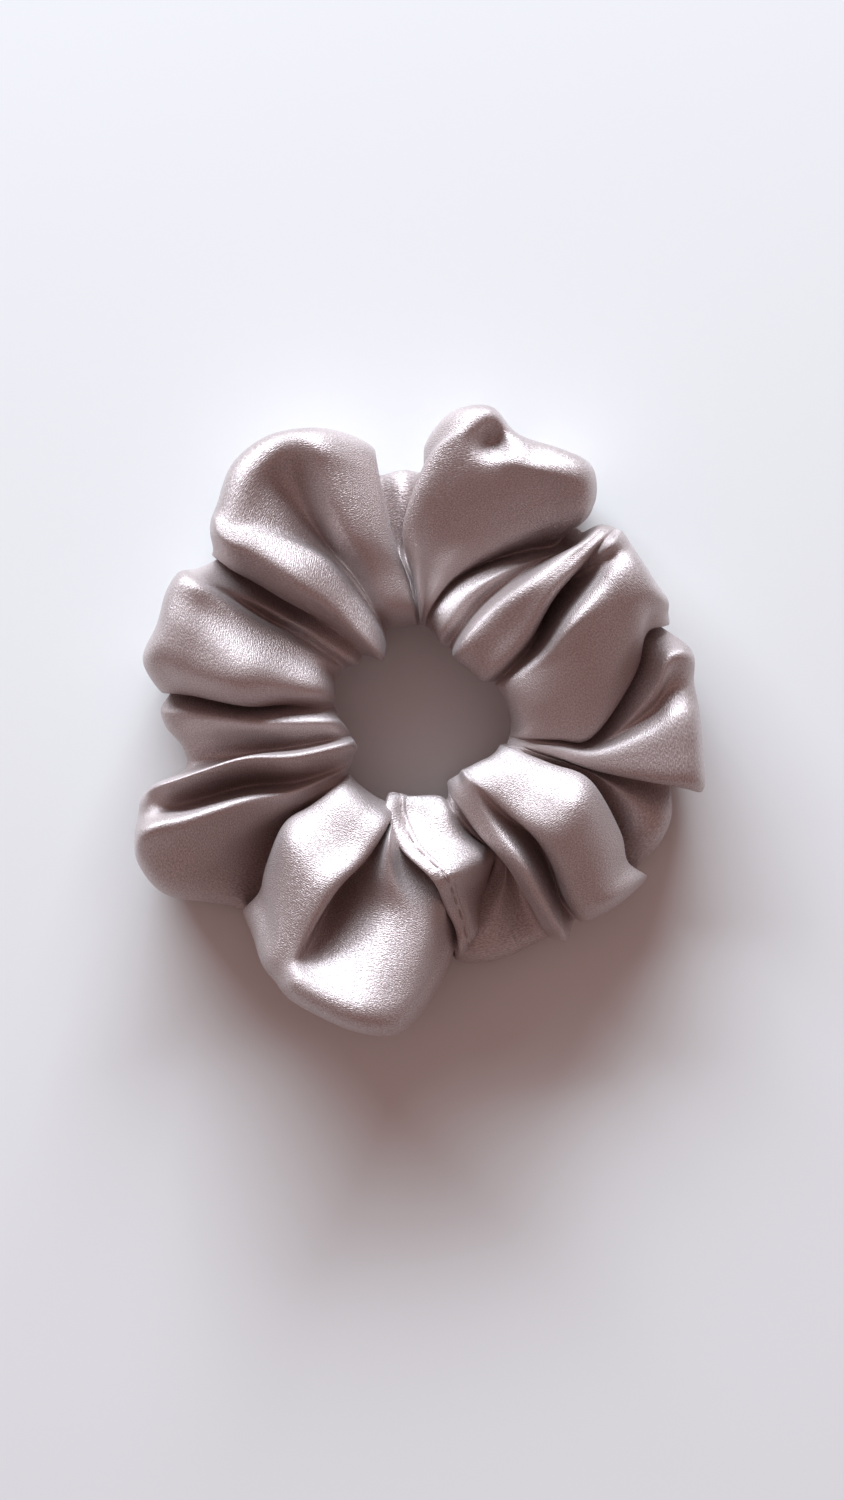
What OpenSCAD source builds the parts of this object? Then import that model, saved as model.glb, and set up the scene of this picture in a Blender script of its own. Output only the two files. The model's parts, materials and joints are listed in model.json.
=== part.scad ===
// Satin scrunchie lying flat: a gathered fabric tube around a flat elastic loop.
// The tube's two ends meet at the closing seam. The ring stretches, so the cover, the
// elastic and the lengthwise seam are divided into lengths that move apart together.
// Millimetres, +Z up, origin under the middle of the ring on the surface it lies on.

/* [Ring] */
// Radius of the opening that hair goes through
opening_r = 17; // [16:0.5:18]
// Height of the tube's middle above the surface
middle_z = 12; // [11.5:0.25:13]
// Direction of the closing seam
seam_angle = 276; // [0:1:359]
// Gap between neighbouring lengths of the ring
split_gap = 0.3; // [0.2:0.05:0.6]

/* [Cover] */
// Thickness of the gathered satin
cloth_t = 1.2; // [0.8:0.1:1.4]
// Width across the narrow neck of the tube
neck_w = 22; // [20:0.5:24]
// Height of the narrow neck of the tube
neck_h = 19; // [18:0.5:21]
// Height of the band where the cover is held flat round the opening
grip_h = 8; // [7:0.5:9]
// How far the surface under the ring flattens each gather
sag = 0.9; // [0.5:0.1:1.2]

/* [Elastic] */
// Radius of the relaxed elastic loop, to the middle of its thickness
elastic_r = 20.5; // [20:0.1:22]
// Width of the flat elastic
elastic_w = 6; // [4:0.5:7]
// Thickness of the flat elastic
elastic_t = 1; // [0.8:0.1:1.2]
// Length of the lap where the elastic's ends are sewn together
lap_l = 10; // [8:0.5:11]

/* [Seams] */
// Width of the folded edge at the closing seam
hem_w = 3; // [2.5:0.25:3.5]
// How far the folded edge stands proud of the neck
hem_rise = 0.4; // [0.2:0.05:0.6]
// How far the tail is tucked into the mouth
tuck_l = 5; // [4:0.5:6]
// Thickness of the sewing thread
thread_d = 0.4; // [0.3:0.05:0.5]
// Length of one stitch
stitch_l = 2; // [1.6:0.1:2.2]

/* [Hidden] */
$fn = 96;
profile_n = 16;                        // points along half of a gather's outline
eps = 0.02;                            // clearance between pieces that touch
wedge_reach = 90;                      // past the outermost gather
wedge_h = 60;

// Outer reach and height of each gather, counterclockwise from the closing seam.
gather_reach = [50, 52, 53, 53, 58.5, 56, 57, 54, 53.8, 57.5, 60.5];
gather_height = [24, 27, 26, 28, 30, 26, 30, 28, 25.4, 28, 29];
gathers = len(gather_reach);
pitch = 360 / (gathers + 1);           // angle from one gather to the next
puff_inner_r = opening_r + 1;
// Puffs beside the closing seam: angle from the seam, reach, height.
mouth_puff = [pitch / 2 + 1, 47, 23];
tail_puff = [0.5 - pitch / 2, 57, 27.5];

neck_r = opening_r + neck_w / 2;       // middle of the neck's section
cavity_r = elastic_r - elastic_t / 2 - eps;  // the elastic bears on this face of the cover
sleeve_clearance = 0.1;
root_l = 1.5;                          // length over which the tucked sleeve joins the tail
mm_to_deg = 180 / (PI * neck_r);       // angle of a millimetre along the neck

hem_stitches = 24;
hem_stitch_from = -105;                // along the neck's outline, 0 pointing outwards
hem_stitch_step = -2 * hem_stitch_from / hem_stitches;
hem_stitch_y = hem_w - 0.5;            // distance of the line of stitches from the folded edge
lap_stitches = 9;

function two(n) = n < 10 ? str("0", n) : str(n);

satin = [0.72, 0.62, 0.60];
elastic_white = [0.93, 0.92, 0.90];
thread_taupe = [0.62, 0.52, 0.50];

// ---- Shapes that repeat ----

// The space between two directions from the ring's middle, set in by half the split gap at each.
module wedge(from, to, gap = split_gap) {
    span = to - from;
    rotate(from) linear_extrude(wedge_h) intersection() {
        polygon([
            [0, 0],
            [wedge_reach, 0],
            [wedge_reach * cos(span), wedge_reach * sin(span)]
        ]);
        translate([0, gap / 2]) square(wedge_reach);
        rotate(span) translate([0, -wedge_reach - gap / 2]) square(wedge_reach);
    }
}

// Section of the neck: an ellipse with a flat band towards the opening.
module neck_section(inset) {
    half_w = neck_w / 2 - inset;
    half_h = neck_h / 2 - inset;
    flat_h = grip_h / 2 - inset;
    polygon(concat(
        [[opening_r + inset, middle_z - flat_h]],
        [for (a = [-110:20:110])
            [neck_r + half_w * cos(a), middle_z + half_h * sin(a)]],
        [[opening_r + inset, middle_z + flat_h]]));
}

module neck(inset) {
    rotate_extrude() neck_section(inset);
}

// A length of the neck's wall between two directions, outside the elastic.
module neck_wall(from, to, outer_inset, inner_inset) {
    rotate(from)
        rotate_extrude(angle = to - from)
            difference() {
                neck_section(outer_inset);
                neck_section(inner_inset);
                square([elastic_r + elastic_t / 2 + sleeve_clearance, wedge_h]);
            }
}

// A puffed gather: an ellipse turned about a line that runs outwards from the ring's middle.
module puff(p, inset) {
    reach = p[1];
    half_l = (reach - puff_inner_r) / 2 - inset;
    half_h = (p[2] + sag) / 2 - inset;
    rotate(p[0])
        translate([(reach + puff_inner_r) / 2, 0, (p[2] - sag) / 2])
            rotate([0, 90, 0])
                rotate_extrude()
                    polygon([for (i = [0:profile_n])
                        let (a = -90 + 180 * i / profile_n)
                        [half_h * cos(a), half_l * sin(a)]]);
}

// The neck and a puff as one form.
module form(p, inset) {
    neck(inset);
    puff(p, inset);
}

// A length of the cover: a shell that is thick towards the opening, where the gathers are packed.
module cover_length(from, to, p) {
    difference() {
        intersection() {
            wedge(from, to);
            form(p, 0);
        }
        intersection() {
            form(p, cloth_t);
            translate([0, 0, cloth_t])
                linear_extrude(wedge_h)
                    difference() {
                        circle(wedge_reach);
                        circle(cavity_r);
                    }
        }
    }
}

// An arc of rectangular section between two directions, set in by half the split gap at each.
module band_arc(from, to, r, t, z, h) {
    set_in = asin(split_gap / 2 / r);
    rotate(from + set_in)
        rotate_extrude(angle = to - from - 2 * set_in)
            translate([r - t / 2, z - h / 2]) square([t, h]);
}

// ---- The cover ----

function gather_angle(i) = seam_angle + pitch * i;

module gather(i) {
    a = gather_angle(i);
    color(satin)
        cover_length(a - pitch / 2, a + pitch / 2,
                     [a, gather_reach[i - 1], gather_height[i - 1]]);
}

// The end of the tube whose edge is folded under and sewn down over the other end.
module seam_mouth() {
    edge_from = seam_angle + split_gap / 2 * mm_to_deg;
    color(satin) {
        cover_length(seam_angle, seam_angle + pitch / 2,
                     [seam_angle + mouth_puff[0], mouth_puff[1], mouth_puff[2]]);
        neck_wall(edge_from, edge_from + hem_w * mm_to_deg, -hem_rise, cloth_t / 2);
    }
}

// The end of the tube that is tucked into the mouth: a gather and a sleeve.
module seam_tail() {
    root_from = seam_angle - 2 * split_gap * mm_to_deg;
    color(satin) {
        cover_length(seam_angle - pitch / 2, seam_angle,
                     [seam_angle + tail_puff[0], tail_puff[1], tail_puff[2]]);
        neck_wall(root_from - root_l * mm_to_deg, root_from, cloth_t / 2, 2 * cloth_t);
        neck_wall(root_from - root_l * mm_to_deg, seam_angle + tuck_l * mm_to_deg,
                  cloth_t + sleeve_clearance, 2 * cloth_t);
    }
}

// A line of stitches along the folded edge, each a short thread bedded in the cloth.
module closing_stitches() {
    half_w = neck_w / 2 + hem_rise;
    half_h = neck_h / 2 + hem_rise;
    color(thread_taupe)
        rotate(seam_angle)
            for (i = [0:hem_stitches - 1]) {
                a = hem_stitch_from + hem_stitch_step * (i + 0.5);
                along = atan2(half_h * cos(a), -half_w * sin(a));
                translate([neck_r + half_w * cos(a), hem_stitch_y, middle_z + half_h * sin(a)])
                    rotate([0, 90 - along, 0])
                        cylinder(d = thread_d, h = stitch_l, center = true, $fn = 16);
            }
}

// ---- The elastic ----

module elastic_arc(from, to) {
    color(elastic_white) band_arc(from, to, elastic_r, elastic_t, middle_z, elastic_w);
}

// The end of the elastic that laps over the loop's other end, outside it.
module elastic_lap() {
    r = elastic_r + elastic_t + eps;
    half_span = lap_l / r * 90 / PI;
    color(elastic_white)
        band_arc(gather_angle(1) - half_span, gather_angle(1) + half_span,
                 r, elastic_t, middle_z, elastic_w);
}

// Zigzag stitches across the lap, bedded in its outer face.
module elastic_lap_stitches() {
    r = elastic_r + 1.5 * elastic_t + eps;
    lean = 18;
    step = (lap_l - 2) / (lap_stitches - 1) * 180 / (PI * r);
    color(thread_taupe)
        for (i = [0:lap_stitches - 1])
            rotate(gather_angle(1) + step * (i - (lap_stitches - 1) / 2))
                translate([r, 0, middle_z])
                    rotate([i % 2 == 0 ? lean : -lean, 0, 0])
                        cylinder(d = thread_d, h = elastic_w - 2, center = true, $fn = 16);
}

// ---- The lengthwise seam ----

// The thread that closes the tube, on the inside of the cover just above the elastic.
module long_seam(from, to) {
    color(thread_taupe)
        band_arc(from, to, elastic_r - elastic_t / 2 + thread_d / 2,
                 thread_d, middle_z + elastic_w / 2 + thread_d, thread_d);
}

// ---- Nodes ----

seam_mouth();
seam_tail();
closing_stitches();
elastic_arc(seam_angle, seam_angle + pitch / 2);  // elastic_start
elastic_arc(seam_angle - pitch / 2, seam_angle);  // elastic_end
elastic_lap();
elastic_lap_stitches();
long_seam(seam_angle, seam_angle + pitch / 2);  // long_seam_start
long_seam(seam_angle - pitch / 2, seam_angle);  // long_seam_end
for (i = [1:gathers]) {
    from = gather_angle(i) - pitch / 2;
    to = gather_angle(i) + pitch / 2;
    gather(i);
    elastic_arc(from, to);
    long_seam(from, to);
}
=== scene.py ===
"""A satin scrunchie lying flat: a gathered fabric tube on a flat elastic loop.

The cover is one open tube of cloth whose two ends meet at the closing seam. Its sections are
set out fold by fold and lofted. Then it is divided into lengths.
"""
import json
import math

import bmesh
import bpy
import numpy as np
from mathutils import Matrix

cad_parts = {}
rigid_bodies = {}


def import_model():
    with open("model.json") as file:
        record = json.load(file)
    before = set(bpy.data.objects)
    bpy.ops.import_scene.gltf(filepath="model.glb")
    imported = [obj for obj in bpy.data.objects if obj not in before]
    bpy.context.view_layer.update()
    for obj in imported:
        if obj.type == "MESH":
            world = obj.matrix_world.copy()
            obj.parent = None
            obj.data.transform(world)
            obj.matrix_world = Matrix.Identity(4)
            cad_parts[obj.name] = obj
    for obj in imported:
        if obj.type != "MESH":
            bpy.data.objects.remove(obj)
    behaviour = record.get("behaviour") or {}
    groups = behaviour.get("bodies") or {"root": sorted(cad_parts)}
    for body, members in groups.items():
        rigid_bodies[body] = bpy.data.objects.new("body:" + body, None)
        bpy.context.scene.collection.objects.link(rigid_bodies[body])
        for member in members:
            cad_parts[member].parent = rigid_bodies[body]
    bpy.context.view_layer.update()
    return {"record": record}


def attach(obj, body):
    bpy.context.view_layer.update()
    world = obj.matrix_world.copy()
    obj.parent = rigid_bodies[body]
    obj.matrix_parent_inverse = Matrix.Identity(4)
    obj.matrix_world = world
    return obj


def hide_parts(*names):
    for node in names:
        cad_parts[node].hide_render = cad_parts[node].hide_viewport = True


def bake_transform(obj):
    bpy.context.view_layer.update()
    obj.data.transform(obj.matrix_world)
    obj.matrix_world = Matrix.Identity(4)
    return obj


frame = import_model()

MM = 0.001
SEAM = 276.0              # direction of the closing seam, degrees counterclockwise from +X

# One section of the tube per line, counterclockwise from the closing seam:
# direction near the opening, half way out and at the rim (degrees), how near the middle the fold
# comes, reach of the rim, then height near the opening, half way out and inside the rim (mm).
FOLDS = [
    ("mouth edge", 248, 274.5, 279.5, 15.5, 45, 18, 24.5, 15),
    ("mouth ridge", 264, 283, 284, 14.6, 43, 17.5, 25, 15),
    ("mouth fall", 283, 293, 288, 14.8, 42, 17.5, 20, 9),
    ("mouth crease", 288, 299, 291, 16, 42, 16.5, 8, 5),
    ("low flap left", 289, 299.5, 278, 15.5, 46, 16.5, 9, 9),
    ("low flap middle", 290, 300.5, 287, 15, 48, 16.5, 10, 12),
    ("low flap right", 291.5, 302, 299, 14, 48, 16.5, 9, 8),
    ("rib edge", 292.5, 299.8, 300.5, 13, 48, 19, 19, 14),
    ("rib ridge", 300, 305.5, 303.5, 12.7, 50, 21, 22.5, 18),
    ("hook crease", 307, 313.7, 307.5, 12.5, 48, 23, 11, 8),
    ("hook lip", 312, 314, 308.5, 12.7, 49, 22.5, 24, 17),
    ("arch ridge", 322, 322, 315, 13.5, 50.5, 22, 27, 21),
    ("arch shoulder", 332, 332, 320.5, 15, 51.5, 21, 27, 19),
    ("arch edge", 340, 339.3, 325, 15.5, 52, 18.5, 22, 13),
    ("arch crease", 341, 338, 323.5, 16, 50, 16.5, 9, 6),
    ("back flap", 342, 341.5, 333, 16.5, 51, 16.5, 11, 12),
    ("back edge", 342.5, 342, 339.5, 16.8, 50.5, 16.5, 12, 12),
    ("back crease", 343, 343.5, 345.5, 16.8, 49, 16.5, 9, 7),
    ("fan corner", 344, 342.8, 345, 16.8, 54.5, 16.5, 16.5, 18),
    ("fan face", 345, 346.5, 353, 16.8, 53, 16.5, 18, 20),
    ("fan rib", 345.5, 349, 361, 16.8, 52, 16.5, 17.5, 20),
    ("fan hollow", 346, 350, 367, 16.8, 51.5, 16.5, 15, 15.5),
    ("fan ridge", 346.5, 351.5, 373.5, 16.8, 52, 16.5, 13, 21),
    ("fan crease", 347, 354, 381, 16.8, 48, 16.5, 9, 10),
    ("oval edge", 348.5, 352.8, 380, 17, 49.5, 17.5, 15, 15),
    ("oval side", 355, 362, 382.5, 17, 50, 18.5, 18.5, 19),
    ("oval middle", 365, 374, 385, 16.3, 50.7, 20, 23, 24),
    ("oval rim", 376, 386, 389.5, 15.5, 50, 20.5, 26.5, 28),
    ("oval crest", 382, 393, 397, 14.8, 50, 19, 27, 28.5),
    ("oval hollow", 384.5, 401.5, 402, 14.8, 50.5, 16.5, 7, 27.8),
    ("bend edge", 388, 401.3, 404, 13, 50, 20, 25, 26),
    ("bend face", 403, 406, 405.3, 12.3, 49.5, 21, 27.2, 26),
    ("bend ridge", 420, 411.3, 406.8, 12.2, 48.5, 22.5, 25.8, 25),
    ("bend valley", 427, 415.5, 408, 13.5, 47, 17, 17, 14),
    ("bend cheek", 435, 419.5, 408.5, 13.8, 46, 20, 19, 13),
    ("bend side", 443, 424, 409.5, 16, 46, 19, 16, 11),
    ("bend crease", 446.5, 428, 412, 16.5, 46, 17, 9, 8),
    ("cup edge", 446.7, 425.5, 410.5, 16.8, 51, 19, 16.5, 21),
    ("cup right", 447.5, 431, 415.5, 17, 56, 19.5, 19.5, 28),
    ("cup middle", 448, 438, 423, 17, 55.5, 19.5, 20.5, 29),
    ("cup fold", 448.5, 445, 431, 17, 55, 19.5, 21.5, 28.5),
    ("cup curl", 449, 450, 437, 17, 58.5, 21, 23.5, 29),
    ("cup left", 449.5, 454.5, 444, 17, 56.5, 21, 23, 26),
    ("cup side", 450, 455.6, 449, 17, 50.5, 19, 20, 17),
    ("gap right", 450.5, 454.5, 448.5, 16.8, 46, 17, 8, 7),
    ("gap middle", 451, 457.2, 454, 16.8, 46.5, 17, 10, 11),
    ("gap left", 451.5, 459.3, 460.5, 16.8, 46, 17, 9, 8),
    ("cowl side", 452.5, 458.5, 459.7, 17, 50.5, 19, 19, 19),
    ("cowl ridge", 458, 464, 465.5, 17.5, 54.5, 20, 24, 25),
    ("cowl lip", 467, 472.5, 471.5, 18, 57, 20, 24.5, 28.5),
    ("cowl hollow", 471.5, 478.2, 479, 18, 59, 18, 16, 25.5),
    ("cowl cheek", 472, 479.8, 487, 17, 58, 18, 17.5, 25.5),
    ("cowl corner", 472.8, 480.8, 494, 16, 54, 18, 19, 26),
    ("flap brink", 475, 482, 496.5, 14, 53, 20, 23.8, 27),
    ("flap ridge", 483, 492, 498.8, 12, 51.5, 22, 27.5, 26.5),
    ("flap side", 488, 497, 500.9, 13.3, 49.5, 20.5, 23, 20),
    ("flap edge", 491.5, 499.3, 502.3, 14.5, 49, 17, 15, 14),
    ("flap crease", 492.5, 498, 501.5, 15, 48, 16.5, 8, 9),
    ("small lip", 501, 504, 506, 14.7, 49.5, 18, 12.5, 17),
    ("small crease", 506.5, 507.5, 507.8, 16, 51, 16.5, 10, 21),
    ("point edge", 509, 509.5, 509.5, 17, 52, 18.5, 18, 24.5),
    ("point ridge", 514, 515, 514, 17.3, 52.3, 19.5, 21.5, 24.5),
    ("point middle", 523, 524, 521, 16.3, 51.5, 21, 25, 24.5),
    ("point corner", 529, 531.5, 528.5, 15.8, 52.5, 20, 24, 22),
    ("point side", 533, 537, 534.7, 15.8, 48.5, 17.5, 17.5, 14),
    ("point crease", 534.5, 535.5, 534, 15.5, 47, 16.5, 8, 7),
    ("tongue edge", 538, 540, 538.5, 15, 48.5, 18, 17, 14),
    ("tongue ridge", 543, 543.5, 542.5, 14.5, 47.5, 21, 18.5, 13),
    ("tongue face", 551, 549, 547, 13.3, 45, 18.5, 14, 10),
    ("tongue crease", 556, 553, 552.5, 13, 45, 17, 11, 9),
    ("loop ridge", 561, 553.3, 554.5, 12.7, 51, 22, 24, 23),
    ("loop back", 568, 557, 556.5, 12.8, 54, 20, 20, 21),
    ("loop hollow", 574, 562, 559.5, 14.5, 55.5, 16.5, 9, 20),
    ("loop rim", 576, 565, 562.5, 15.5, 57, 17, 22, 26),
    ("loop face", 577.5, 570, 567.5, 16, 59, 16.5, 19.5, 21.5),
    ("loop middle", 578.5, 574.5, 575, 16.5, 58, 16.5, 15.5, 15.5),
    ("loop foot", 579.5, 577, 583, 16.8, 51.5, 16.5, 11.5, 9.5),
    ("loop crease", 580, 580, 590, 16.8, 48.5, 16.5, 8, 6),
    ("leaf side", 581, 578.3, 587.5, 17, 49, 19, 18.5, 14),
    ("leaf bank", 587, 584, 593, 17.5, 51.5, 21.5, 24, 19),
    ("leaf ridge", 602, 595, 597.5, 18, 54.5, 22.5, 26.5, 23),
    ("leaf edge", 614, 604.3, 601.5, 18.5, 56, 22.5, 27, 24.5),
    ("leaf hollow", 614.5, 603.5, 605, 19, 57.5, 18.5, 12, 26.5),
    ("leaf cheek", 615, 611, 611.5, 19.5, 58.5, 21, 17.5, 27.5),
    ("leaf shoulder", 615.5, 621.5, 619.5, 20, 59.5, 24, 22, 28),
    ("leaf turn", 616.6, 631, 627, 19.5, 58.5, 20.5, 21.5, 24.5),
    ("leaf back", 623.5, 637.8, 634.5, 17.4, 50, 17.8, 18.5, 17),
    ("tail end", 630, 641, 645, 17.2, 36, 17.2, 16, 11),
]

# Small hollows pressed into the top of the cover: direction, distance out, radius, depth (mm).
DENTS = [
    ("curl", 75, 52, 2.8, 7),
    ("cup rim", 66, 53, 2.5, 2),
    ("cowl pocket", 118, 50, 5, 2),
    ("mouth dip", 265, 18, 3, 2.5),
]

BAND_R = 17.0             # mm, radius of the band that the elastic holds flat
BAND_Z = 12.0             # mm, height of the middle of the band
ALONG = 420               # cloth points along the tube
AROUND = 64               # cloth points around it
CUT_MARGIN = 8.0          # degrees of cloth kept beyond a cut until it is made
END_REACH = 90.0          # degrees that the tube's ends may pass the closing seam

ELASTIC_R = 20.5          # mm, middle of the elastic's thickness
ELASTIC_T = 1.0           # mm, its thickness
ELASTIC_W = 6.0           # mm, its width
ELASTIC_RIBS = 5
RIB_RISE = 0.06           # mm, half the depth between the elastic's ribs
BAND_ROWS = 40            # rows along each length of elastic
LAP_L = 10.0              # mm, length of the elastic's lap
LAP_STITCHES = 5          # zigzag stitches in each half of the lap
THREAD_D = 0.4            # mm, thickness of every thread
THREAD_SIDES = 8
STITCH_POINTS = 9         # points along one stitch
SEAM_Z = 15.5             # mm, height of the lengthwise seam, just above the elastic
SEAM_STITCHES = 5         # stitches of the lengthwise seam in each length
HEM_AROUND = 4 * AROUND   # points round the hem
HEM_STITCHES = 24
HEM_STITCH_SHARE = 0.62   # of the way from one closing stitch to the next
HEM_ARCH = 0.22           # mm that a closing stitch rises in its middle
LAP_ARCH = 0.12           # mm, the same for a zigzag stitch
SEAM_ARCH = 0.1           # mm, the same for a stitch of the lengthwise seam
SEAM_GAP = 0.04           # of a stitch left free at each end of it
MOUTH_ROWS = 12           # rows of cloth that the hem lies on
ASKEW = (0.31, 0.27, 0.91)  # a direction that no thread runs along
HEM_LINE = 2.5            # mm from the folded edge to the line of stitches

chain = [frame["record"]["behaviour"]["joints"][0]["parent"]]
chain += [joint["child"] for joint in frame["record"]["behaviour"]["joints"]]
lengths = len(chain) - 1
pitch = 360.0 / lengths


# ---- Curves and meshes ----

def polar(angle, r, z=0.0):
    """A point from its direction in degrees, distance from the ring's middle and height."""
    return np.array([r * math.cos(math.radians(angle)), r * math.sin(math.radians(angle)), z])


def catmull_rom(p0, p1, p2, p3, t):
    """The point a part t of the way from p1 to p2 on a smooth curve through all four."""
    return 0.5 * (2 * p1 + (p2 - p0) * t + (2 * p0 - 5 * p1 + 4 * p2 - p3) * t * t
                  + (3 * p1 - p0 - 3 * p2 + p3) * t * t * t)


def resample_closed(points, count):
    """Points spaced evenly along a smooth closed curve."""
    points = np.asarray(points)
    fine = []
    for i in range(len(points)):
        p = [points[(i + k) % len(points)] for k in (-1, 0, 1, 2)]
        fine += [catmull_rom(*p, t) for t in np.linspace(0, 1, 12, endpoint=False)]
    fine = np.array(fine + [fine[0]])
    length = np.concatenate([[0], np.cumsum(np.linalg.norm(np.diff(fine, axis=0), axis=1))])
    wanted = np.linspace(0, length[-1], count, endpoint=False)
    return np.column_stack([np.interp(wanted, length, fine[:, k]) for k in range(3)])


def loft(sections, count):
    """Smooth open surface through the sections, its rows spaced evenly along its mean length."""
    gap = [np.mean(np.linalg.norm(b - a, axis=1)) for a, b in zip(sections, sections[1:])]
    place = np.concatenate([[0], np.cumsum(gap)])
    padded = [2 * sections[0] - sections[1], *sections, 2 * sections[-1] - sections[-2]]
    rows = []
    for s in np.linspace(0, place[-1], count):
        i = min(np.searchsorted(place, s, side="right") - 1, len(sections) - 2)
        rows.append(catmull_rom(*padded[i:i + 4], (s - place[i]) / gap[i]))
    return np.array(rows), place[-1]


def add_mesh(name, points, faces, uv=None):
    """A smooth mesh object from points in mm; uv holds one pair per face corner, in metres."""
    mesh = bpy.data.meshes.new(name)
    mesh.from_pydata([tuple(p) for p in np.asarray(points, float).reshape(-1, 3) * MM], [], faces)
    if uv is not None:
        mesh.uv_layers.new(name="cloth").data.foreach_set("uv", np.asarray(uv, np.float32).ravel())
    mesh.shade_smooth()
    obj = bpy.data.objects.new(name, mesh)
    bpy.context.scene.collection.objects.link(obj)
    return obj


def grid_faces(rows, columns):
    """Quads of a grid of rings, and each corner's row and column, counted past the end at the wrap."""
    corners = [[(i, j), (i, j + 1), (i + 1, j + 1), (i + 1, j)]
               for i in range(rows - 1) for j in range(columns)]
    return [[i * columns + j % columns for i, j in quad] for quad in corners], corners


def add_grid(name, rows, size):
    """A tube of rings of points, with its cloth coordinates running over size (mm)."""
    count, columns, _ = rows.shape
    faces, corners = grid_faces(count, columns)
    scale = np.array([size[0] / (count - 1), size[1] / columns]) * MM
    return add_mesh(name, rows, faces, np.array(corners, float).reshape(-1, 2) * scale)


def apply_modifiers(obj):
    """Gives obj the mesh that its modifiers make, and no modifiers."""
    mesh = bpy.data.meshes.new_from_object(obj.evaluated_get(bpy.context.evaluated_depsgraph_get()))
    obj.modifiers.clear()
    obj.data = mesh


# ---- The cover ----

def section(fold):
    """The corners of one section, from the band over the top, round the rim and back below."""
    _, a_in, a_mid, a_out, near, reach, z_in, z_mid, z_out = fold
    r_mid = BAND_R + 0.47 * (reach - BAND_R)
    corners = [
        (a_in, BAND_R, BAND_Z),
        (a_in, near, z_in - 4),
        (0.9 * a_in + 0.1 * a_mid, near + 3, z_in),
        (0.5 * a_in + 0.5 * a_mid, 0.5 * (near + 3 + r_mid), 0.65 * z_in + 0.35 * z_mid),
        (a_mid, r_mid, z_mid),
        (0.35 * a_mid + 0.65 * a_out, reach - 9, 0.3 * z_mid + 0.7 * z_out),
        (a_out, reach - 5, z_out),
        (a_out, reach - 1.3, 0.92 * z_out - 0.4),
        (a_out, reach, 0.45 * z_out + 0.5),
        (a_out, reach - 4, 1.5),
        (a_mid, r_mid, max(0.8, 9 - 0.35 * z_mid)),
        (a_in, near + 6, 2.5),
        (a_in, near + 1, 6),
    ]
    return [polar(*corner) for corner in corners]


def outward(rows):
    """Unit normals of a tube of rows, pointing out of it."""
    normals = np.cross(np.gradient(rows, axis=0), np.roll(rows, -1, 1) - np.roll(rows, 1, 1))
    normals /= np.linalg.norm(normals, axis=2, keepdims=True) + 1e-12
    inside = ((rows - rows.mean(1, keepdims=True)) * normals).sum(2).mean() < 0
    return -normals if inside else normals


def dent(rows):
    """Presses the small hollows into the top of the rows."""
    for _, angle, r, size, depth in DENTS:
        away = np.linalg.norm(rows[..., :2] - polar(angle, r)[:2], axis=2)
        top = np.clip((rows[..., 2] - 12) / 6, 0, 1)
        rows[..., 2] -= depth * top * np.exp(-(away / size) ** 2)
    return rows


def make_cloth():
    """The whole cover as one sheet, its rows, the width of each row and the length along it."""
    sections = [resample_closed(section(fold), AROUND) for fold in FOLDS]
    rows, along = loft(sections, ALONG)
    rows = dent(rows)
    faces, corners = grid_faces(ALONG, AROUND)
    widths = np.linalg.norm(np.roll(rows, -1, 1) - rows, axis=2).sum(1)
    corners = np.array(corners).reshape(-1, 2)
    across = corners[:, 1] / AROUND * widths[corners[:, 0]]
    uv = np.column_stack([corners[:, 0] * along / (ALONG - 1), across]) * MM
    cloth = add_mesh("cloth", rows, faces, uv)
    fine = cloth.modifiers.new("fine", "SUBSURF")
    fine.levels = fine.render_levels = 1
    apply_modifiers(cloth)
    return cloth, rows, widths, along


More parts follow.
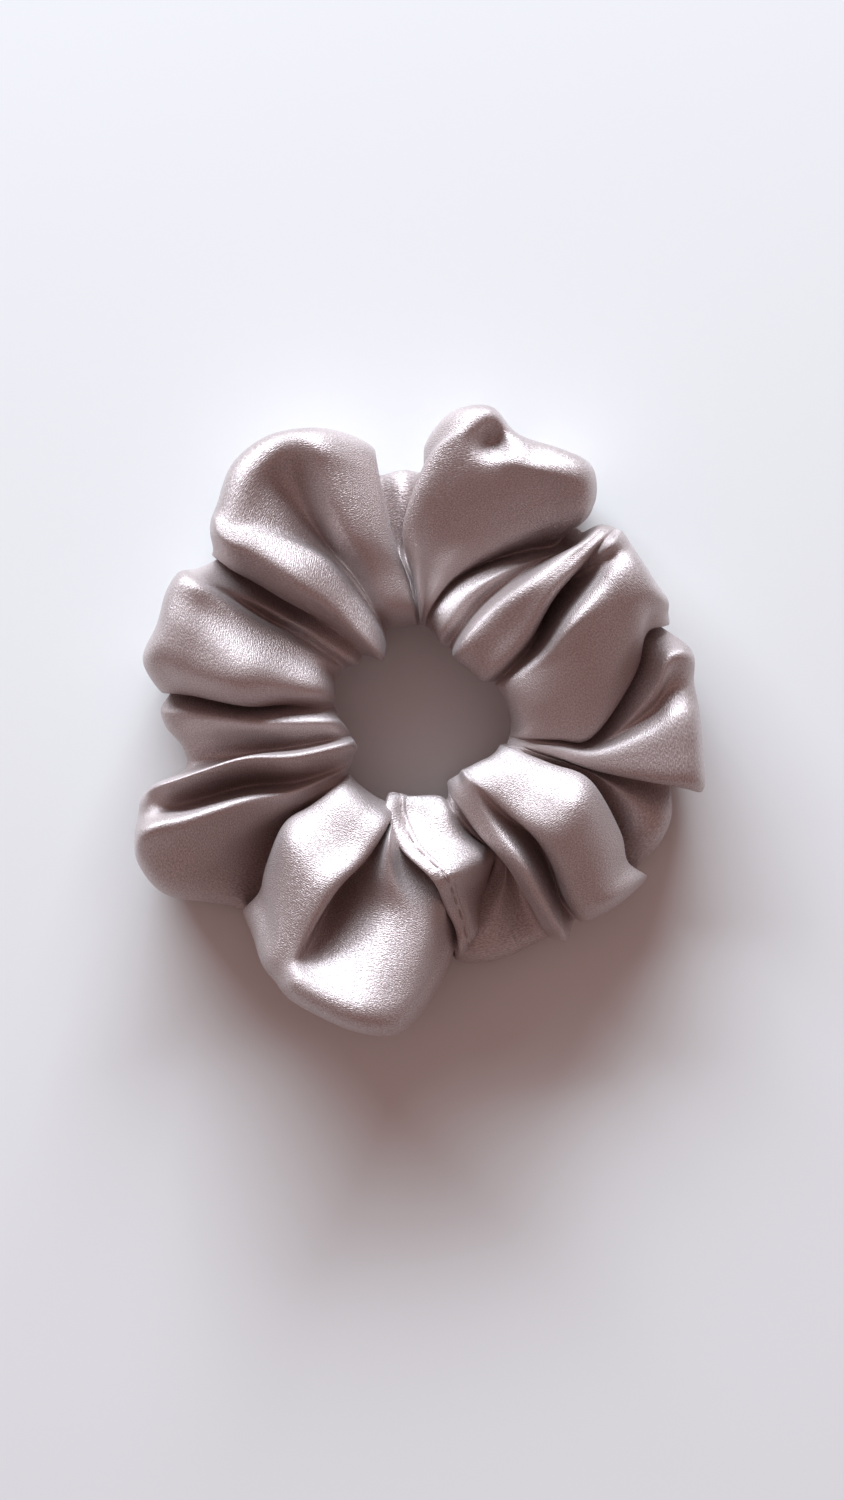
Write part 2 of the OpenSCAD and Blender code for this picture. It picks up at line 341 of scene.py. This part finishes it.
def cut_length(cloth, index, along):
    """The cloth of one length of the ring. The tube's ends aren't cut, because they overlap."""
    mesh = cloth.data
    points = np.array([v.co for v in mesh.vertices])
    angle = (np.degrees(np.arctan2(points[:, 1], points[:, 0])) - SEAM) % 360
    u = np.zeros(len(points))
    loops = np.array([loop.vertex_index for loop in mesh.loops])
    uv = np.zeros(2 * len(loops))
    mesh.uv_layers["cloth"].data.foreach_get("uv", uv)
    u[loops] = uv[::2] / MM / along
    low, high = (index - 1) * pitch, index * pitch
    # Both ends of the tube pass the closing seam, so each length takes cloth from its own side.
    side = u < 0.75 if index <= lengths / 2 else u > 0.25
    if index == 1:
        angle = np.where((u < 0.5) & (angle > 180), angle - 360, angle)
        low = -END_REACH
    if index == lengths:
        angle = np.where((u > 0.5) & (angle < 180), angle + 360, angle)
        high = 360 + END_REACH
    near = side & (angle > low - CUT_MARGIN) & (angle < high + CUT_MARGIN)
    bm = bmesh.new()
    bm.from_mesh(mesh)
    bm.verts.ensure_lookup_table()
    far = [f for f in bm.faces if not all(near[v.index] for v in f.verts)]
    bmesh.ops.delete(bm, geom=far, context="FACES")
    for cut, keep_before in ((low, False), (high, True)):
        if not 0 < cut < 360:
            continue
        a = math.radians(SEAM + cut)
        bmesh.ops.bisect_plane(
            bm, geom=bm.verts[:] + bm.edges[:] + bm.faces[:], dist=1e-7,
            plane_co=(0, 0, 0), plane_no=(-math.sin(a), math.cos(a), 0),
            clear_outer=keep_before, clear_inner=not keep_before)
    piece_mesh = bpy.data.meshes.new(f"cover_{index:02d}")
    bm.to_mesh(piece_mesh)
    bm.free()
    piece = bpy.data.objects.new(piece_mesh.name, piece_mesh)
    bpy.context.scene.collection.objects.link(piece)
    copy = piece.modifiers.new("normals", "DATA_TRANSFER")
    copy.object = cloth
    copy.use_loop_data = True
    copy.data_types_loops = {"CUSTOM_NORMAL"}
    copy.loop_mapping = "POLYINTERP_NEAREST"
    apply_modifiers(piece)
    return piece


def stretch_across(obj):
    """Bakes obj's placement into its mesh."""
    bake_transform(obj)


def cover_nodes(index):
    """The plain solids that a length of the cover stands for."""
    nodes = [f"gather_{index:02d}"] if index < lengths else ["seam_tail"]
    return nodes + (["seam_mouth"] if index == 1 else [])


def ring_nodes(kind, index):
    """The plain solids of the elastic or of the long seam that one length stands for."""
    nodes = [f"{kind}_{index:02d}" if index < lengths else f"{kind}_end"]
    return nodes + ([f"{kind}_start"] if index == 1 else [])


# ---- The hem at the closing seam ----

# Profile of the folded edge: distance in from the edge and height above the cloth, mm.
HEM_PROFILE = [(4.2, -0.3), (3.5, 0.0), (3.0, 0.28), (2.75, 0.2), (2.5, 0.12), (2.25, 0.22),
               (1.8, 0.4), (1.0, 0.5), (0.3, 0.42), (-0.1, 0.1), (-0.1, -0.3), (0.5, -0.6)]
HEM_L = 5.5               # mm of cloth across the profile


class Mouth:
    """The cloth near the mouth, as a smooth surface of distance in and place around."""

    def __init__(self, rows, step):
        self.rows, self.step = rows[:MOUTH_ROWS], step
        self.normals = outward(self.rows)

    def at(self, distance, place):
        """Point and outward normal, distance mm in from the edge, place from 0 to 1 around."""
        i = min(max(distance / self.step, 0), MOUTH_ROWS - 1.01)
        k, t = int(i), i - int(i)
        j = place * AROUND
        m, w = int(j) % AROUND, j - int(j)
        n = (m + 1) % AROUND

        def mixed(grid):
            near = grid[k, m] * (1 - w) + grid[k, n] * w
            far = grid[k + 1, m] * (1 - w) + grid[k + 1, n] * w
            return near * (1 - t) + far * t

        point, normal = mixed(self.rows), mixed(self.normals)
        if distance < 0:
            point = point + (mixed(self.rows) - self.at(1, place)[0]) * -distance
        return point, normal / np.linalg.norm(normal)


def make_hem(mouth):
    """The folded edge of the mouth, standing a little proud of the cloth."""
    rows = []
    for distance, rise in HEM_PROFILE:
        ring = []
        for j in range(HEM_AROUND):
            point, normal = mouth.at(distance, j / HEM_AROUND)
            ring.append(point + normal * rise)
        rows.append(ring)
    stitched = rows[3]
    width = np.linalg.norm(np.roll(stitched, -1, 0) - stitched, axis=1).sum()
    hem = add_grid("closing_hem", np.array(rows), (HEM_L, width))
    fine = hem.modifiers.new("fine", "SUBSURF")
    fine.levels = fine.render_levels = 1
    apply_modifiers(hem)
    return hem


def thread_along(path):
    """Points and faces of a round thread along path, closed at both ends."""
    path = np.asarray(path, float)
    run = np.gradient(path, axis=0)
    run /= np.linalg.norm(run, axis=1, keepdims=True)
    side = np.cross(run, ASKEW)
    side /= np.linalg.norm(side, axis=1, keepdims=True)
    up = np.cross(side, run)
    turns = np.linspace(0, 2 * math.pi, THREAD_SIDES, endpoint=False)
    points = [path[i] + THREAD_D / 2 * (side[i] * math.cos(a) + up[i] * math.sin(a))
              for i in range(len(path)) for a in turns]
    faces, _ = grid_faces(len(path), THREAD_SIDES)
    last = len(points) - THREAD_SIDES
    faces += [list(range(THREAD_SIDES))[::-1], [last + k for k in range(THREAD_SIDES)]]
    return points, faces


def join_threads(name, threads):
    """One object from the points and faces of several threads."""
    points, faces = [], []
    for more_points, more_faces in threads:
        faces += [[len(points) + i for i in face] for face in more_faces]
        points += list(more_points)
    return add_mesh(name, points, faces)


def make_closing_stitches(mouth):
    """Stitches round the hem, each arched a little over the cloth."""
    threads = []
    for k in range(HEM_STITCHES):
        path = []
        for t in np.linspace(0, 1, STITCH_POINTS):
            place = (k + 0.5 + (t - 0.5) * HEM_STITCH_SHARE) / HEM_STITCHES
            point, normal = mouth.at(HEM_LINE, place)
            path.append(point + normal * (0.02 + HEM_ARCH * math.sin(math.pi * t)))
        threads.append(thread_along(path))
    return join_threads("hem_stitches", threads)


# ---- The elastic and the lengthwise seam ----

def elastic_band(name, index, from_angle, to_angle, r):
    """A flat band round the ring, ribbed along its length and thinner at its edges."""
    steps = ELASTIC_RIBS * 4
    edge_share = 0.35
    outline = []
    for side in (1, -1):
        for k in range(steps + 1):
            across = side * (1 - 2 * k / steps)
            rise = RIB_RISE * math.cos(2 * math.pi * ELASTIC_RIBS * k / steps)
            edge = 1 - abs(across) ** 8
            thick = ELASTIC_T * (edge_share + (1 - edge_share) * edge)
            out = thick / 2 - (rise + RIB_RISE) * edge
            outline.append((side * out, across * ELASTIC_W / 2))
    rows = []
    for angle in np.linspace(from_angle, to_angle, BAND_ROWS):
        rows.append([polar(angle, r + dr, BAND_Z + dz) for dr, dz in outline])
    size = (r * math.radians(to_angle - from_angle), 2 * (ELASTIC_W + ELASTIC_T))
    return add_grid(f"{name}_{index:02d}", np.array(rows), size)


def zigzag(from_angle, to_angle, r, z, h, count):
    """Threads that run up and down by turns across a band of height h."""
    threads = []
    step = (to_angle - from_angle) / count
    for k in range(count):
        low, high = (-1, 1) if k % 2 else (1, -1)
        path = []
        for t in np.linspace(0, 1, STITCH_POINTS):
            height = z + h / 2 * (low + (high - low) * t)
            rise = LAP_ARCH * math.sin(math.pi * t)
            path.append(polar(from_angle + step * (k + t), r + rise, height))
        threads.append(thread_along(path))
    return threads


def seam_thread(index, from_angle, to_angle, r, z):
    """Small straight stitches along the inside of the tube."""
    step = (to_angle - from_angle) / SEAM_STITCHES
    threads = []
    for k in range(SEAM_STITCHES):
        path = []
        for t in np.linspace(0, 1, STITCH_POINTS):
            place = k + SEAM_GAP + (1 - 2 * SEAM_GAP) * t
            path.append(polar(from_angle + step * place, r + SEAM_ARCH * math.sin(math.pi * t), z))
        threads.append(thread_along(path))
    return join_threads(f"long_seam_thread_{index:02d}", threads)


# ---- Materials ----

def new_material(name, colour, roughness):
    """A material, its node tree and its shader."""
    material = bpy.data.materials.new(name)
    material.use_nodes = True
    shader = material.node_tree.nodes["Principled BSDF"]
    shader.inputs["Base Color"].default_value = (*colour, 1)
    shader.inputs["Roughness"].default_value = roughness
    return material, material.node_tree, shader


def node(tree, kind, **values):
    """A new node with its settings, or else its inputs, set to values."""
    made = tree.nodes.new(kind)
    for name, value in values.items():
        if hasattr(made, name):
            setattr(made, name, value)
        else:
            made.inputs[name.replace("_", " ")].default_value = value
    return made


def on_cloth(tree, scale, pattern):
    """Lays pattern out in the cloth's own directions, scale per metre along it and across it."""
    uv = node(tree, "ShaderNodeUVMap", uv_map="cloth")
    stretch = node(tree, "ShaderNodeMapping")
    stretch.inputs["Scale"].default_value = (*scale, 1)
    tree.links.new(uv.outputs["UV"], stretch.inputs["Vector"])
    tree.links.new(stretch.outputs["Vector"], pattern.inputs["Vector"])
    return pattern


def on_object(tree, pattern):
    """Lays pattern out in the object's space, in metres."""
    place = node(tree, "ShaderNodeTexCoord")
    tree.links.new(place.outputs["Object"], pattern.inputs["Vector"])
    return pattern


def satin_gloss(shader):
    """Bright metallic-looking floats under a thin clear sheen."""
    shader.inputs["Metallic"].default_value = 0.75
    shader.inputs["Specular IOR Level"].default_value = 0.8
    shader.inputs["Anisotropic"].default_value = 0.45
    shader.inputs["Sheen Weight"].default_value = 0.12
    shader.inputs["Sheen Roughness"].default_value = 0.4
    shader.inputs["Coat Weight"].default_value = 0.3
    shader.inputs["Coat Roughness"].default_value = 0.42
    shader.inputs["Coat IOR"].default_value = 1.7


def satin_material():
    """Crepe-back satin: smooth floats along the tube over a fine pebbled ground."""
    material, tree, shader = new_material("satin", (0.55, 0.45, 0.43), 0.5)
    link = tree.links.new
    satin_gloss(shader)
    along = node(tree, "ShaderNodeTangent", direction_type="UV_MAP", uv_map="cloth")
    link(along.outputs["Tangent"], shader.inputs["Tangent"])
    pebble = node(tree, "ShaderNodeTexNoise", noise_dimensions="2D", Scale=1.0, Detail=2.0)
    on_cloth(tree, (3600, 4000), pebble)
    threads = node(tree, "ShaderNodeTexNoise", noise_dimensions="2D", Scale=1.0, Detail=1.0)
    on_cloth(tree, (1400, 5200), threads)
    weave = node(tree, "ShaderNodeMath", operation="ADD")
    link(pebble.outputs["Fac"], weave.inputs[0])
    link(threads.outputs["Fac"], weave.inputs[1])
    bump = node(tree, "ShaderNodeBump", Strength=0.6, Distance=0.00017)
    link(weave.outputs["Value"], bump.inputs["Height"])
    drape = on_object(tree, node(tree, "ShaderNodeTexNoise", Scale=70.0, Detail=0.5, Distortion=0.4))
    soft = node(tree, "ShaderNodeBump", Strength=0.35, Distance=0.0012)
    link(drape.outputs["Fac"], soft.inputs["Height"])
    link(soft.outputs["Normal"], bump.inputs["Normal"])
    link(bump.outputs["Normal"], shader.inputs["Normal"])
    shade = node(tree, "ShaderNodeValToRGB")
    dark, light = shade.color_ramp.elements
    dark.position = 0.35
    dark.color = (0.40, 0.315, 0.303, 1)
    light.position = 0.68
    light.color = (0.62, 0.53, 0.512, 1)
    link(pebble.outputs["Fac"], shade.inputs["Fac"])
    link(shade.outputs["Color"], shader.inputs["Base Color"])
    return material


def elastic_material():
    """Knitted white elastic, matt and a little fuzzy."""
    material, tree, shader = new_material("elastic", (0.80, 0.79, 0.76), 0.75)
    shader.inputs["Sheen Weight"].default_value = 0.2
    knit = on_cloth(tree, (1400, 900), node(tree, "ShaderNodeTexVoronoi", Scale=1.0))
    bump = node(tree, "ShaderNodeBump", Strength=0.6, Distance=0.00017)
    tree.links.new(knit.outputs["Distance"], bump.inputs["Height"])
    tree.links.new(bump.outputs["Normal"], shader.inputs["Normal"])
    return material


def thread_and_painted_shade_material():
    """Twisted sewing thread, darker than the satin; its darkness is partly painted shade along the
    hem's fold.
    """
    # Dark thread colour: partly the thread's own, partly painted shade, so the closing stitches stand
    # for the shaded line along the hem's fold.
    material, tree, shader = new_material("thread", (0.36, 0.27, 0.255), 0.55)
    twist = on_object(tree, node(tree, "ShaderNodeTexNoise", Scale=6000.0, Detail=2.0))
    bump = node(tree, "ShaderNodeBump", Strength=0.5, Distance=0.0001)
    tree.links.new(twist.outputs["Fac"], bump.inputs["Height"])
    tree.links.new(bump.outputs["Normal"], shader.inputs["Normal"])
    return material


def floor_material():
    """Plain and matt."""
    material, _, shader = new_material("floor", (0.72, 0.70, 0.685), 0.75)
    shader.inputs["Specular IOR Level"].default_value = 0.2
    return material


# ---- The scene ----

def dress(obj, material):
    """Gives obj one material."""
    obj.data.materials.clear()
    obj.data.materials.append(material)


def add_length(obj, material, nodes):
    """obj is dressed and becomes one length of the ring, in place of the nodes, which are hidden."""
    dress(obj, material)
    stretch_across(obj)
    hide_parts(*nodes)


def build_seam(mouth, satin, thread):
    """The hem and its stitches, which stay with the ring's first body. Returns the hem."""
    hem = make_hem(mouth)
    stitches = make_closing_stitches(mouth)
    for obj, material, slot in ((hem, satin, "satin"), (stitches, thread, "thread")):
        dress(obj, material)
        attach(obj, chain[0])
    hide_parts("closing_stitches")
    return hem


def build_lap(elastic, thread):
    """The lap of the elastic, half on each side of where the first length ends."""
    join_at = SEAM + pitch
    r = ELASTIC_R + ELASTIC_T
    half = math.degrees(LAP_L / 2 / r)
    for index, low, high in ((1, join_at - half, join_at), (2, join_at, join_at + half)):
        lap = elastic_band("elastic_lap_band", index, low, high, r)
        add_length(lap, elastic, ["elastic_lap"])
        threads = zigzag(low, high, r + ELASTIC_T / 2, BAND_Z, ELASTIC_W - 2, LAP_STITCHES)
        tack = join_threads(f"elastic_lap_zigzag_{index:02d}", threads)
        add_length(tack, thread, ["elastic_lap_stitches"])


def build_object():
    """The cover, the elastic, the seam and the hem, each dressed; the hem and its stitches move with
    the ring's first body.
    """
    satin, elastic, thread = satin_material(), elastic_material(), thread_and_painted_shade_material()
    cloth, rows, widths, along = make_cloth()
    hem = build_seam(Mouth(rows, along / (ALONG - 1)), satin, thread)
    seam_r = ELASTIC_R - ELASTIC_T / 2 + THREAD_D / 2
    for index in range(1, lengths + 1):
        low, high = SEAM + (index - 1) * pitch, SEAM + index * pitch
        cover = cut_length(cloth, index, along)
        add_length(cover, satin, cover_nodes(index))
        flat_size(cover, widths, along)
        band = elastic_band("elastic_band", index, low, high, ELASTIC_R)
        add_length(band, elastic, ring_nodes("elastic", index))
        seam = seam_thread(index, low, high, seam_r, SEAM_Z)
        add_length(seam, thread, ring_nodes("long_seam", index))
    build_lap(elastic, thread)
    bpy.data.objects.remove(cloth)


def flat_size(piece, widths, along):
    """Length and width in metres of the piece's cloth laid flat, with the piece's own area."""
    mesh = piece.data
    uv = np.zeros(2 * len(mesh.loops))
    mesh.uv_layers["cloth"].data.foreach_get("uv", uv)
    row = uv[::2] / MM / along * (ALONG - 1)
    width = widths[int(row.min()):int(row.max()) + 1].mean() * MM
    area = sum(face.area for face in mesh.polygons)
    return round(area / width, 4), round(width, 4)


def build_floor():
    """A plain pale floor, 4 m across."""
    bpy.ops.mesh.primitive_plane_add(size=4)
    floor = bpy.context.object
    floor.name = "floor"
    floor.data.materials.append(floor_material())


def build_camera():
    """A camera that looks straight down, with 278 mm in view from top to bottom at 14 mm up."""
    lens = bpy.data.cameras.new("camera")
    lens.lens = 85
    lens.sensor_fit = "VERTICAL"
    lens.sensor_height = 36
    camera = bpy.data.objects.new("camera", lens)
    bpy.context.scene.collection.objects.link(camera)
    frame_height = 0.278
    above = 0.014
    camera.location = (0.0004, -0.0063, frame_height * lens.lens / lens.sensor_height + above)
    bpy.context.scene.camera = camera


def build_light():
    """A wide cool window past the top of the frame, low down, and a dim warm room."""
    area = bpy.data.lights.new("window", "AREA")
    area.shape = "RECTANGLE"
    area.size, area.size_y = 2.2, 0.6
    area.energy = 116
    area.color = (0.76, 0.89, 1.0)
    window = bpy.data.objects.new("window", area)
    bpy.context.scene.collection.objects.link(window)
    window.location = (-0.33, 1.75, 0.74)
    window.rotation_euler = (-window.location).to_track_quat("-Z", "Y").to_euler()
    world = bpy.data.worlds.new("room")
    bpy.context.scene.world = world
    world.use_nodes = True
    background = world.node_tree.nodes["Background"]
    background.inputs["Color"].default_value = (1.0, 0.68, 0.65, 1)
    background.inputs["Strength"].default_value = 0.33
    bpy.context.scene.view_settings.view_transform = "Standard"


build_floor()
build_object()
build_camera()
build_light()
